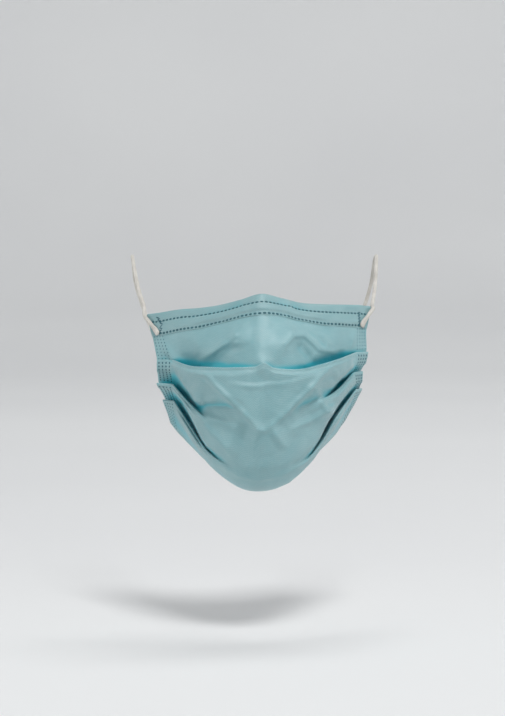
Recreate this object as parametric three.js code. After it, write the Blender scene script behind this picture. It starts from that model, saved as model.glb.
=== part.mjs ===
// A disposable pleated face mask in the shape that it takes on a face, with its ear loops drawn back as if
// over two ears. One sheet of non-woven laminate is folded into three pleats whose pockets open upwards. A
// hem along the top covers a bendable nose wire, the layers are welded together in a band down each side, and
// an elastic cord is welded to the two corners of each band. On a face the pleats open out over the chin and
// stay shut near the bands.
//
// Millimetres. +X points to the wearer's left, +Y from the front of the mask back to the ears, +Z up. The
// origin is on the top edge, where it sits on the bridge of the nose.
import * as THREE from "three";

const WALL = 1; // thickness of the laminate
const GAP = 0.3; // air between two pieces that touch
const LAYER_PITCH = 1.4; // from the middle of one layer of a pleat to the middle of the next
// The hem reaches "outside" and "inside" below its own fold, which stands "fold" above the sheet's top edge.
// Its bend starts "straight" below that edge and rounds its corners at "shoulder".
const HEM = { outside: 14.6, inside: 5, fold: 1.9, straight: 0.2, shoulder: { up: 1, ahead: 0.95 } };
// The nose wire's top is that far below the hem's fold. The hem rises over it between "slope" and "lip".
const WIRE = { thickness: 0.6, width: 3, top: 7.4, reach: 0.62, slope: 1.8, lip: 0.4 };
const BAND = 0.129; // width of a side band, as a share of the sheet's half width inside the bands
// "middle" is the X of the middle of the head. The cord lies "overSheet" or "overHem" clear, besides its gap.
const LOOP = { diameter: 2.4, middle: 1.2, overSheet: 0.3, overHem: 0.15 };

const COLOURS = { blue: 0x9fc9d2, white: 0xf2f1ec, wire: 0xe9ecec };

// Lines across the sheet, from the top edge down to the edge under the chin. Depth (Y) and height (Z) are
// given at six stations evenly spaced across half the width: the centre line, the flank of the nose, the
// inner cheek, the cheek, the outer cheek and the side band. A line spans from flare - half to flare + half
// along X. "right" and "left" are the heights on the wearer's two sides, because the mask sits a little
// askew. "bandRight" and "bandLeft" are the X, Y and Z steps from the end of the line across the side band.
const LINES = {
  topEdge: {
    half: 62,
    flare: 1,
    depth: [0, 7.5, 16.5, 23, 30.5, 40],
    right: [-1.8, -5.6, -9.2, -11.4, -12.7, -15.2],
    left: [-1.8, -4.5, -7.9, -9.2, -9.9, -10.7],
    bandRight: [-7.3, 6.8, -1.2],
    bandLeft: [7.5, 6.5, -1.1],
  },
  bridge: {
    half: 59,
    flare: 1.2,
    depth: [-13, -7.5, 3, 12.5, 22, 32.5],
    right: [-22, -23.5, -25.5, -26.8, -27.6, -28.6],
    left: [-22, -23, -24.5, -25, -24.7, -24.3],
    bandRight: [-7.4, 6.6, -1],
    bandLeft: [7.4, 6.6, -0.8],
  },
  foldOne: {
    half: 57.1,
    flare: 3.4,
    depth: [-24.5, -23.5, -20.5, -14, 0, 26],
    right: [-40.2, -43.4, -44.3, -44.3, -43.9, -42.6],
    left: [-40.2, -42.8, -45.2, -43.4, -41.6, -38.7],
    bandRight: [-9.3, 3.6, -0.3],
    bandLeft: [7.6, 6.5, -0.3],
  },
  foldTwo: {
    half: 56.1,
    flare: 2.7,
    depth: [-28, -24, -16, -7, 7, 26.5],
    right: [-75, -75, -75.5, -78, -68.5, -58],
    left: [-75, -73, -70, -66.5, -60.7, -51],
    bandRight: [-9.5, 5, 0.3],
    bandLeft: [6.2, 7.2, 0],
  },
  foldThree: {
    half: 56.5,
    flare: 4,
    depth: [-15, -12, -6, 3, 15, 31],
    right: [-112, -110.2, -105, -96.5, -82.5, -68.7],
    left: [-112, -110.4, -105.5, -93.3, -75.5, -61.8],
    bandRight: [-6.6, 7.5, 0],
    bandLeft: [4.4, 9, 0],
  },
  chinEdge: {
    half: 49,
    flare: 0,
    depth: [6, 8.5, 16, 25.5, 36, 46],
    right: [-120.7, -119.8, -115.3, -108, -99, -89],
    left: [-120.7, -118.8, -113.5, -106.5, -98, -89],
    bandRight: [-5.2, 6, 6],
    bandLeft: [5.2, 6, 6],
  },
};

// The pleats, at the same six stations. "overlap" is how far the hidden layers reach down behind the outer
// fold, and is negative where the pleat has opened out flat. "stand" is how far the outer fold stands in
// front of the panel above it.
const PLEATS = [
  { fold: "foldOne", overlap: [3, 4, 6, 8, 7.5, 5.5], stand: [3.2, 6.5, 10, 13, 10.5, 3] },
  { fold: "foldTwo", overlap: [-10, -10, -8, -2, 4, 4.5], stand: [0, 0, 1, 7, 8, 4] },
  { fold: "foldThree", overlap: [-10, -9, -2, 5, 7.5, 6], stand: [0, 1, 4, 4.8, 4, 2.8] },
];
// The panels between the folds: how far each swells out, and how many facets it has down the sheet.
const PANELS = {
  upper: { bulge: 1.5, rows: 9 },
  front: { bulge: 2, rows: 7 },
  cheek: { bulge: 2, rows: 6 },
  chin: { bulge: 2.5, rows: 4 },
};

// Ridges and hollows of the worn sheet, each along a path of X, Z pairs seen from the front. "rise" is how
// far the sheet stands out at each point of the path, and is negative in a hollow. It fades to nothing
// "above" and "below" the path, at those distances.
const CREASES = [
  {
    place: "lower edge of the front facet",
    path: [[-54, -43.5], [-32, -50.3], [0, -80], [30, -55], [54, -40]],
    rise: [0, 4.5, 1.5, 4.5, 0],
    above: 22,
    below: 13,
  },
  {
    place: "mouth of the middle pleat, right",
    path: [[-50, -48], [-44, -60], [-39, -69]],
    rise: [1, 3, 1.5],
    above: 10,
    below: 9,
  },
  {
    place: "dart from the middle pleat, right",
    path: [[-38, -71], [-26, -87], [-15, -99.5]],
    rise: [2.5, 3, 1],
    above: 13,
    below: 9,
  },
  {
    place: "dart of the middle pleat, left",
    path: [[33, -56], [37.5, -63.5], [41, -71.5]],
    rise: [1, 3.5, 2.5],
    above: 11,
    below: 9,
  },
  {
    place: "lower dart of that pleat, left",
    path: [[15, -81], [30, -77], [41, -72]],
    rise: [0.5, 2.5, 2],
    above: 9,
    below: 10,
  },
  {
    place: "cheek fold, right",
    path: [[-34, -38], [-15, -25]],
    rise: [2, 2],
    above: 11,
    below: 9,
  },
  {
    place: "cheek fold, left",
    path: [[13, -33], [21, -25], [30, -30], [41, -36]],
    rise: [1.5, 2.5, 2.5, 1.5],
    above: 9,
    below: 8,
  },
];

// Elastic cord of one ear loop between its two welds on the side band: over the root of the ear, down behind
// it and forward along the jaw. "out" is measured from the middle of the head.
const LOOP_ROUTE = [
  { out: 72.4, y: 61, z: -9.9 },
  { out: 75, y: 74, z: -3 },
  { out: 77, y: 88.5, z: 5.8 },
  { out: 78.7, y: 102, z: 14.4 },
  { out: 79.6, y: 111, z: 19.8 },
  { out: 79.1, y: 118.5, z: 15.5 },
  { out: 77.4, y: 123.5, z: 1 },
  { out: 71.6, y: 118.5, z: -17 },
  { out: 65.4, y: 106, z: -33 },
  { out: 60.8, y: 86, z: -50 },
  { out: 59, y: 66, z: -64 },
];
// Where the ends of a cord lie on the side band and round its edge: how far across the band, from its inner
// edge at 0 to its outer at 1. The upper end is "below" the top edge in millimetres, and the lower one is a
// share of the way from the last fold to the chin edge.
const WELDS = {
  upper: [
    { across: 0.4, below: 13.5 },
    { across: 0.6, below: 8.5 },
    { across: 0.88, below: 4 },
    { across: 1.25, below: 0.4 },
  ],
  lower: [{ across: 0.9, part: 0.6 }, { across: 0.45, part: 0.62 }, { across: 0, part: 0.64 }],
};

const STATIONS = 6;
const INNER_COLUMNS = 36; // facets across the sheet between the side bands
const BAND_COLUMNS = 2; // facets across each side band
const FOLD_ROWS = 3; // facets round each bend of a pleat
const LOOP_STEPS = 44; // facets along each cord
const LOOP_SIDES = 8; // facets round it
const LENGTH_STEPS = 120; // samples that measure a line's length
const CREASE_FADE = 0.25; // share of a panel over which its creases die out towards a shut bend
const FOLD_CLEARANCE = 2.6; // how far a panel keeps its depth past a fold, on either side of it
const HEMMED_ROWS = 3; // rows of the upper panel that the hem keeps free of creases
const OPENING_TURN = 3; // half the overlap over which a pleat turns from shut to open
const HEM_END_CLEARANCE = 0.04; // how far past the wire's ends the hem is still raised
const SLIGHT = 0.02; // small step across the sheet, for directions
const FORWARD = new THREE.Vector3(0, -1, 0); // the way in which the creases stand out of the sheet

// Value of an even list of stations at x, with a smooth curve through them.
function through(values, x) {
  const last = values.length - 1;
  const i = Math.min(Math.max(Math.floor(x), 0), last - 1);
  const t = Math.min(Math.max(x - i, 0), 1);
  const at = (k) => values[Math.min(Math.max(k, 0), last)];
  const [a, b, c, d] = [at(i - 1), at(i), at(i + 1), at(i + 2)];
  const startSlope = (c - a) / (i === 0 ? 1 : 2);
  const endSlope = (d - b) / (i + 2 > last ? 1 : 2);
  const rest = 1 - t;
  const blend = rest * rest * (1 + 2 * t) * b + t * t * (3 - 2 * t) * c;
  return blend + t * rest * (rest * startSlope - t * endSlope);
}

// Value at a share of the half width, from -1 at the wearer's right to 1 at the left.
function across(right, left, share) {
  return through([...right.slice(1).reverse(), ...left], (share + 1) * (STATIONS - 1));
}

const clamp = (x, low, high) => Math.min(Math.max(x, low), high);
const smooth = (t) => t * t * (3 - 2 * t);
const along = (from, direction, distance) => from.clone().addScaledVector(direction, distance);
const between = (a, b) => b.clone().sub(a).normalize();

// Gives a line as a function of the share of its length from the centre to the side band, so that the columns
// of the sheet stay as far apart as the threads of the real one. Past 1 it crosses the band.
function evenLine({ half, flare, depth, right, left, bandRight, bandLeft }) {
  const pointAt = (q) =>
    new THREE.Vector3(q * half + q * q * flare, across(depth, depth, q), across(right, left, q));
  const points = Array.from({ length: LENGTH_STEPS + 1 }, (_, i) => pointAt((2 * i) / LENGTH_STEPS - 1));
  const lengths = [0];
  points.slice(1).forEach((point, i) => lengths.push(lengths[i] + point.distanceTo(points[i])));
  const middle = lengths[LENGTH_STEPS / 2];
  return (share) => {
    const inside = clamp(share, -1, 1);
    const wanted = middle + inside * (inside < 0 ? middle : lengths[LENGTH_STEPS] - middle);
    const i = clamp(lengths.findIndex((length) => length > wanted), -1, LENGTH_STEPS);
    const next = i < 1 ? LENGTH_STEPS : i;
    const part = (wanted - lengths[next - 1]) / (lengths[next] - lengths[next - 1]);
    const point = points[next - 1].clone().lerp(points[next], clamp(part, 0, 1));
    const step = new THREE.Vector3(...(share < 0 ? bandRight : bandLeft));
    return along(point, step, Math.max(Math.abs(share) - 1, 0) / BAND);
  };
}

const line = Object.fromEntries(Object.entries(LINES).map(([name, row]) => [name, evenLine(row)]));
const LINE_NAMES = Object.keys(LINES);

// A point on a line, with the directions down the sheet to it and from it, and straight out of its front.
function directions(name, share) {
  const place = LINE_NAMES.indexOf(name);
  const here = line[name](share);
  const inside = THREE.MathUtils.clamp(share, -1 - BAND, 1 + BAND);
  const sideways = between(
    line[name](Math.max(inside - SLIGHT, -1 - BAND)),
    line[name](Math.min(inside + SLIGHT, 1 + BAND)),
  );
  const above = place > 0 ? between(line[LINE_NAMES[place - 1]](share), here) : null;
  const below = place + 1 < LINE_NAMES.length ? between(here, line[LINE_NAMES[place + 1]](share)) : null;
  const down = below ?? above;
  const front = new THREE.Vector3().crossVectors(down, sideways).normalize();
  return { here, above: above ?? below, down, front };
}

// Where one pleat bends, in the order of the sheet: the end of the panel above, the two ends of the hidden
// layer, and the start of the panel below.
function pleatAt({ fold, overlap, stand }, share) {
  const { here, above, down, front } = directions(fold, share);
  const reach = across(overlap, overlap, share);
  const shut = smooth(clamp((reach + OPENING_TURN) / (2 * OPENING_TURN), 0, 1));
  const depth = Math.max(across(stand, stand, share), shut * 2 * LAYER_PITCH);
  const ease = above.clone().add(down).normalize();
  const innerEnd = along(along(here, reach > 0 ? down : ease, reach), front, -depth);
  const turn = between(innerEnd, here).add(down).addScaledVector(front, SLIGHT).normalize();
  const width = LAYER_PITCH * (2 - shut);
  const innerStart = along(innerEnd, turn, width);
  const outerEnd = along(here, turn, -width);
  return { innerEnd, innerStart, outerEnd, outerStart: here, down, front, shut, reach, depth };
}

// How far the creases push a point forward.
function creaseAt({ x, z }) {
  let total = 0;
  for (const { path, rise, above, below } of CREASES) {
    let most = 0;
    for (let i = 0; i < path.length - 1; i += 1) {
      const [[x0, z0], [x1, z1]] = [path[i], path[i + 1]];
      const [dx, dz] = [x1 - x0, z1 - z0];
      const t = clamp(((x - x0) * dx + (z - z0) * dz) / (dx * dx + dz * dz), 0, 1);
      const distance = Math.hypot(x - x0 - t * dx, z - z0 - t * dz);
      const isAbove = dx * (z - z0) - dz * (x - x0) > 0;
      const near = Math.max(1 - distance / (isAbove ? above : below), 0);
      const push = smooth(near) * (rise[i] + t * (rise[i + 1] - rise[i]));
      if (Math.abs(push) > Math.abs(most)) most = push;
    }
    total += most;
  }
  return total;
}

// Points down a panel from one bend to the next, swelling out by "swell" in its middle. It stays in front of
// the layers of the bend "above", and then drops back by the depth of the bend "below", to pass behind it.
function panelBetween(above, below, swell, rows) {
  const toFold = above.outerStart.distanceTo(below.outerStart);
  const length = toFold + below.reach;
  const slack = Math.min((2 * LAYER_PITCH) / above.depth, 1);
  const held = (Math.max(above.reach, 0) + FOLD_CLEARANCE) * slack;
  const dropped = Math.min(toFold, length) - FOLD_CLEARANCE;
  const openEnd = along(below.innerEnd ?? below.outerStart, below.front, below.depth);
  const openPoint = (t) => above.outerStart.clone().lerp(openEnd, t);
  return Array.from({ length: rows + 1 }, (_, i) => {
    const part = clamp((i - 1) / (rows - 2), 0, 1);
    const inside = held + part * (dropped - held);
    const distance = [0, rows].includes(i) ? i * (length / rows) : inside;
    const t = distance / length;
    const onLine = above.outerStart.clone().lerp(below.outerStart, Math.min(distance / toFold, 1));
    const pastFold = Math.max(distance - toFold, 0);
    const onSheet = below.reach > 0 ? along(onLine, below.down, pastFold) : openPoint(t);
    const point = along(onSheet, below.front, -below.depth * smooth(part));
    return along(point, above.front, 4 * swell * t * (1 - t));
  });
}

// The same points pushed forward by the creases, less so beside a bend that is shut at either end.
function creased(points, shutAbove, shutBelow) {
  const last = points.length - 1;
  return points.map((point, i) => {
    const fromStart = smooth(Math.min(i / last / CREASE_FADE, 1));
    const fromEnd = smooth(Math.min((1 - i / last) / CREASE_FADE, 1));
    const freedom = (1 - shutAbove * (1 - fromStart)) * (1 - shutBelow * (1 - fromEnd));
    return along(point, FORWARD, freedom * creaseAt(point));
  });
}

// Round bend from the end of one run of points to the start of the next, without its two ends.
function bend(before, after) {
  const [from, to] = [before.at(-1), after[0]];
  const handle = 0.66 * from.distanceTo(to);
  const curve = new THREE.CubicBezierCurve3(
    from,
    along(from, between(before.at(-2), from), handle),
    along(to, between(after[1], to), handle),
    to,
  );
  return curve.getPoints(FOLD_ROWS).slice(1, -1);
}

// The upper panel, from the top edge through the bridge line and behind the first fold to its hidden end.
function upperPanel(share, { innerEnd, outerStart, front, depth, shut }) {
  const { bulge, rows } = PANELS.upper;
  const bridge = directions("bridge", share);
  const behind = along(along(outerStart, front, -depth), between(outerStart, bridge.here), FOLD_CLEARANCE);
  const curve = new THREE.CatmullRomCurve3([line.topEdge(share), bridge.here, behind], false, "centripetal");
  const swell = bulge * Math.max(1 - share * share, 0);
  const points = [...curve.getSpacedPoints(rows - 1), innerEnd];
  const out = points.map((_, i) => swell * Math.sin((Math.PI * i) / rows));
  const swollen = points.map((point, i) => along(point, bridge.front, out[i]));
  return [...swollen.slice(0, HEMMED_ROWS), ...creased(swollen.slice(HEMMED_ROWS), 1, shut)];
}

// One column of the sheet, from the top edge to the edge under the chin.
function column(share) {
  const pleats = PLEATS.map((pleat) => pleatAt(pleat, share));
  const { here, front } = directions("chinEdge", share);
  const edge = { outerStart: here, front, down: front, reach: 0, depth: 0, shut: 0 };
  const swell = Math.max(1 - share * share, 0);
  let points = upperPanel(share, pleats[0]);
  ["front", "cheek", "chin"].forEach((name, i) => {
    const pleat = pleats[i];
    const next = pleats[i + 1] ?? edge;
    const { bulge, rows } = PANELS[name];
    const hidden = creased([pleat.innerStart, pleat.outerEnd], pleat.shut, pleat.shut);
    const panel = panelBetween(pleat, next, bulge * swell, rows);
    const below = creased(panel, pleat.shut, next.shut);
    const inner = bend(points, hidden);
    const outer = bend(hidden, below);
    points = [...points, ...inner, ...hidden, ...outer, ...below];
  });
  return points;
}

// A closed wall of the given thickness about a grid of points, grid[column][row]. Columns run towards +X and
// rows run down the front of the mask.
function wallAbout(grid, thickness) {
  const columns = grid.length;
  const rows = grid[0].length;
  const direction = (before, here, after) => {
    const sum = new THREE.Vector3();
    if (before) sum.add(between(before, here));
    if (after) sum.add(between(here, after));
    return sum.normalize();
  };
  const positions = [];
  for (const side of [1, -1]) {
    for (let i = 0; i < columns; i += 1) {
      for (let j = 0; j < rows; j += 1) {
        const here = grid[i][j];
        const sideways = direction(grid[i - 1]?.[j], here, grid[i + 1]?.[j]);
        const down = direction(grid[i][j - 1], here, grid[i][j + 1]);
        const front = new THREE.Vector3().crossVectors(down, sideways).normalize();
        positions.push(...along(here, front, (side * thickness) / 2).toArray());
      }
    }
  }
  const front = (i, j) => i * rows + j;
  const back = (i, j) => columns * rows + front(i, j);
  const index = [];
  const quad = (a, b, c, d) => index.push(a, b, c, a, c, d);
  for (let i = 0; i < columns - 1; i += 1) {
    for (let j = 0; j < rows - 1; j += 1) {
      quad(front(i, j), front(i, j + 1), front(i + 1, j + 1), front(i + 1, j));
      quad(back(i, j), back(i + 1, j), back(i + 1, j + 1), back(i, j + 1));
    }
    quad(front(i, 0), front(i + 1, 0), back(i + 1, 0), back(i, 0));
    quad(front(i, rows - 1), back(i, rows - 1), back(i + 1, rows - 1), front(i + 1, rows - 1));
  }
  for (let j = 0; j < rows - 1; j += 1) {
    quad(front(0, j), back(0, j), back(0, j + 1), front(0, j + 1));
    quad(front(columns - 1, j), front(columns - 1, j + 1), back(columns - 1, j + 1), back(columns - 1, j));
  }
  const geometry = new THREE.BufferGeometry();
  geometry.setAttribute("position", new THREE.Float32BufferAttribute(positions, 3));
  geometry.setIndex(index);
  geometry.computeVertexNormals();
  return geometry;
}

// Shares of the half width, evenly across the sheet and then across both side bands.
function allShares() {
  const inner = Array.from({ length: INNER_COLUMNS + 1 }, (_, i) => (2 * i) / INNER_COLUMNS - 1);
  const band = Array.from({ length: BAND_COLUMNS }, (_, i) => 1 + (BAND * (i + 1)) / BAND_COLUMNS);
  return [...band.map((share) => -share).reverse(), ...inner, ...band];
}

// A point in front of the upper panel, the given distance below its top edge.
function onUpperPanel(share, below, ahead) {
  const points = column(share).slice(0, PANELS.upper.rows + 1);
  const { front } = directions("topEdge", share);
  let left = below;
  let i = 0;
  while (i < points.length - 2 && left > points[i].distanceTo(points[i + 1])) {
    left -= points[i].distanceTo(points[i + 1]);
    i += 1;
  }
  return along(along(points[i], between(points[i], points[i + 1]), left), front, ahead);
}

// The hem: a strip folded over the top edge, raised where it covers the nose wire.
function hemGrid() {
  const clear = WALL + GAP;
  const wireTop = WIRE.top - HEM.fold;
  const wireEnd = wireTop + WIRE.width;
  return allShares().map((share) => {
    const overWire = Math.abs(share) < WIRE.reach + HEM_END_CLEARANCE;
    const raised = clear + (overWire ? WIRE.thickness + GAP : 0);
    const section = [
      { below: HEM.inside, ahead: -clear },
      { below: HEM.straight, ahead: -clear },
      { below: -HEM.shoulder.up, ahead: -HEM.shoulder.ahead },
      { below: WALL / 2 - HEM.fold, ahead: 0 },
      { below: -HEM.shoulder.up, ahead: HEM.shoulder.ahead },
      { below: HEM.straight, ahead: clear },
      { below: wireTop - WIRE.slope, ahead: clear },
      { below: wireTop - WIRE.lip, ahead: raised },
      { below: wireEnd + WIRE.lip, ahead: raised },
      { below: wireEnd + WIRE.slope, ahead: clear },
      { below: HEM.outside - HEM.fold, ahead: clear },
    ];
    return section.map(({ below, ahead }) => onUpperPanel(share, below, ahead));
  });
}

function wireGrid() {
  const ahead = WALL / 2 + GAP + WIRE.thickness / 2;
  const wireTop = WIRE.top - HEM.fold;
  return allShares()
    .filter((share) => Math.abs(share) < WIRE.reach)
    .map((share) => [wireTop, wireTop + WIRE.width].map((below) => onUpperPanel(share, below, ahead)));
}

// A point in front of the panel under the chin, a share of the way from its fold to its edge.
function onChinPanel(share, part, ahead) {
  const { here, front } = directions("foldThree", share);
  return along(here.lerp(line.chinEdge(share), part), front, ahead);
}

function cordGeometry(sign) {
  const touching = (WALL + LOOP.diameter) / 2 + GAP;
  const clearOfSheet = touching + LOOP.overSheet;
  const clearOfHem = touching + WALL + GAP + LOOP.overHem;
  const upper = WELDS.upper.map((end) => onUpperPanel(sign * (1 + BAND * end.across), end.below, clearOfHem));
  const lower = WELDS.lower.map((end) => onChinPanel(sign * (1 + BAND * end.across), end.part, -clearOfSheet));
  const route = LOOP_ROUTE.map(({ out, y, z }) => new THREE.Vector3(LOOP.middle + sign * out, y, z));
  return new THREE.ExtrudeGeometry(new THREE.Shape().absarc(0, 0, LOOP.diameter / 2, 0, 2 * Math.PI), {
    steps: LOOP_STEPS,
    curveSegments: LOOP_SIDES / 2,
    extrudePath: new THREE.CatmullRomCurve3([...upper, ...route, ...lower], false, "centripetal"),
  });
}

function mesh(name, geometry, color, roughness) {
  const made = new THREE.Mesh(geometry, new THREE.MeshStandardMaterial({ color, roughness, metalness: 0 }));
  made.name = name;
  return made;
}

const mask = new THREE.Group();
mask.add(
  mesh("pleated_panel", wallAbout(allShares().map(column), WALL), COLOURS.blue, 0.9),
  mesh("top_hem", wallAbout(hemGrid(), WALL), COLOURS.blue, 0.9),
  mesh("nose_wire", wallAbout(wireGrid(), WIRE.thickness), COLOURS.wire, 0.5),
  mesh("ear_loop_left", cordGeometry(1), COLOURS.white, 0.85),
  mesh("ear_loop_right", cordGeometry(-1), COLOURS.white, 0.85),
);
export default mask;
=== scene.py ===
# A disposable face mask as it lies on a face. One sheet of non-woven, blue outside and white inside, is
# folded into three pleats that open upwards. A hem along the top, with two rows of short welds, covers a
# nose wire. Small welds hold the layers in a band down each side, and an elastic cord is welded to each
# band at its top and its foot.
#
# Tables are in millimetres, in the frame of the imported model: +X to the wearer's left, +Y back towards the
# ears, +Z up, with the origin on the top edge over the bridge of the nose. Meshes are made in metres.
import bpy
import math
import numpy as np
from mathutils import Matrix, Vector, noise


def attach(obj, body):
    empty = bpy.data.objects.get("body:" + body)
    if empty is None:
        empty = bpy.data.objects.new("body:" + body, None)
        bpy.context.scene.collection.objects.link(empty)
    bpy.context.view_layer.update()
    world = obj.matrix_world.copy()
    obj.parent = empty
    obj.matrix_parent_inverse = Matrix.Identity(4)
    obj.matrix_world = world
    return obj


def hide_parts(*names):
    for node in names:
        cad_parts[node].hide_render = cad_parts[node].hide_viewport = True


MM = 0.001
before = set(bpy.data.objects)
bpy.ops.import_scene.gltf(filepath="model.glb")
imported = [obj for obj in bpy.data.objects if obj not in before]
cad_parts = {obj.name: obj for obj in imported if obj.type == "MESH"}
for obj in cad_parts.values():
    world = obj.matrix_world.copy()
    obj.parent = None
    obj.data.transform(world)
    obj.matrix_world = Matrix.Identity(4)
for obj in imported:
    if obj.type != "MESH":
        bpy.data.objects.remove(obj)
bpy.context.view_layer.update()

# ---- driving sizes

SHEET_THICKNESS = 0.5
LAYER_PITCH = 1.2  # from the middle of one layer of a pleat to the middle of the next
FLAT = (175, 138)  # the sheet before it was folded, width by height
BAND = 0.129  # width of a side band, as a share of the sheet's half width inside the bands
BAND_WIDTH = 10  # the same in millimetres, near enough
CORD = 2.4  # diameter of the elastic cord, drawn thin by its stretch
HEAD_MIDDLE = 1.2  # X of the middle of the head
FLOOR = -212  # height of the floor under the mask

# Lines across the sheet, from the top edge to the edge under the chin, within a few millimetres of the CAD
# model's. Depth (Y) and height (Z) are given at six even stations from the centre line to the side band.
# "band_right" and "band_left" are the X, Y and Z steps from there across the band.
LINES = {
    "top_edge": dict(
        half=62, flare=1, depth=(0, 7.5, 16.5, 23, 30.5, 40),
        right=(-1.8, -5.6, -9.2, -11.4, -12.7, -15.2), left=(-1.8, -4.5, -7.9, -9.2, -9.9, -10.7),
        band_right=(-7.3, 6.8, -1.2), band_left=(7.5, 6.5, -1.1)),
    "bridge": dict(
        half=59, flare=1.2, depth=(-13, -9, 2, 12.3, 22, 32.5),
        right=(-22, -23.5, -25.5, -26.8, -27.6, -28.6), left=(-22, -23, -24.5, -25, -24.7, -24.3),
        band_right=(-7.4, 6.6, -1), band_left=(7.4, 6.6, -0.8)),
    "fold_one": dict(
        half=57.1, flare=3.4, depth=(-28.3, -27, -22.6, -14.6, 0, 26),
        right=(-43.2, -43.7, -44.2, -44.4, -44.7, -42.6), left=(-43.2, -44.8, -45.2, -43.1, -40.7, -38.4),
        band_right=(-9.3, 3.6, -0.3), band_left=(7.6, 6.5, -0.3)),
    "fold_two": dict(
        half=56.1, flare=2.7, depth=(-24.8, -21.8, -15.2, -7, 7, 26.5),
        right=(-75, -75, -75.5, -78, -68.5, -58), left=(-75, -73, -70, -66.5, -60.7, -51),
        band_right=(-9.5, 5, 0.3), band_left=(6.2, 7.2, 0)),
    "fold_three": dict(
        half=56.5, flare=4, depth=(-15, -12, -6, 3, 15, 31),
        right=(-112, -110.2, -105, -97.4, -83.3, -68.7), left=(-112, -110.4, -105.5, -94.3, -76.7, -62.2),
        band_right=(-6.6, 7.5, 0), band_left=(4.4, 9, 0)),
    "chin_edge": dict(
        half=49, flare=0, depth=(6, 8.5, 15.5, 24, 33.5, 43),
        right=(-120.7, -119.8, -115.3, -108, -99, -89), left=(-120.7, -118.8, -113.5, -106.5, -98, -89),
        band_right=(-5.2, 6, 6), band_left=(5.2, 6, 6)),
}
LINE_NAMES = list(LINES)
STATIONS = 6
LENGTH_STEPS = 240  # pieces into which a line is cut to measure along it

# The pleats at the same stations. "overlap" is how far the hidden layers reach down behind the outer fold,
# negative where the pleat has opened out flat. "right" and "left" are how far the fold stands in front.
PLEATS = (
    dict(fold="fold_one", overlap=(3, 4, 6, 8, 7.5, 5.5),
         right=(3.2, 7.5, 13, 15, 13, 3), left=(3.2, 7.5, 13, 15, 13, 3)),
    dict(fold="fold_two", overlap=(-10, -10, -8, -2, 4, 4.5),
         right=(0, 0, 1.5, 5.5, 11.5, 7.5), left=(0, 0, 1.5, 4.5, 9.5, 5)),
    dict(fold="fold_three", overlap=(-10, -9, -2, 5, 7.5, 6),
         right=(0, 1, 3, 7, 10, 6.5), left=(0, 1, 3.2, 7.5, 8, 4)),
)
PEAK = dict(fold="fold_one", middle=0.6, half=4.8, up=2.6, ahead=1.4)  # the little tent in mid-fold
BULGE = dict(upper=1.5, front=0.4, cheek=2, chin=2.5)  # how far each panel between the folds swells out
DROP = dict(  # the last stretch of a panel, which drops behind the fold below it, at the same stations
    front=dict(right=(6, 6, 5, 6, 8.5, 9.5), left=(6, 6, 5, 5.5, 6, 6)),
    cheek=dict(right=(6, 6, 4.5, 9, 10.5, 10.5), left=(6, 6, 4.5, 8.5, 7, 5)),
    chin=dict(right=(12,) * STATIONS, left=(12,) * STATIONS))
DROP_CLEARANCE = 0.8  # how far before a fold a panel has dropped all the way
DROP_CURVE = 0.6  # 1 for a flat drop, and less for one that starts steep
OPENING_TURN = 3  # half the overlap over which a pleat turns from shut to open
FOLD_CLEARANCE = 2.6  # how far a panel keeps its depth past a fold
FORWARD = np.array([0, -1, 0])  # the way in which the creases stand out of the sheet
STRAIGHT = 0.7  # how far the outer folds stand straight forward, and not out along the sheet's own front
BEND_HANDLE = 0.66  # share of a bend's width that its curve reaches out
SLIGHT = 0.02  # a small step or weight, where any small one does
TINY = 1e-9  # keeps a length from being nothing where it divides

# The grid of the sheet: quads down each stretch of it, and columns across.
ROWS = dict(upper=52, hidden=7, front=44, cheek=48, chin=24, bend=5)
TUCKED_ROWS = 5  # the last rows of the upper panel, which lie behind the first fold
INNER_COLUMNS = 180  # between the side bands
BAND_COLUMNS = 12  # across each side band
CURVE_STEPS = 24  # points between two given ones, before a curve is cut evenly

HEM_HOLD = dict(below=0.25, fade=0.2)  # share of the upper panel that the hem holds smooth, and the fade
CREASE_FADE = 0.1  # share of a panel over which its creases die out towards a shut bend
RELAX_FADE = 0.4  # share of a panel over which it is left unrelaxed beside a shut bend
RELAXING = 50  # rounds of evening out
RELAX_PULL = 0.5  # how far a round moves a free point towards the middle of its neighbours
CREST = 0.5  # radius of a crease's crest
PINCH = dict(share=0.22, reach=2.8, sharp=1.6)  # the thin crest that a crease was pinched to

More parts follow.
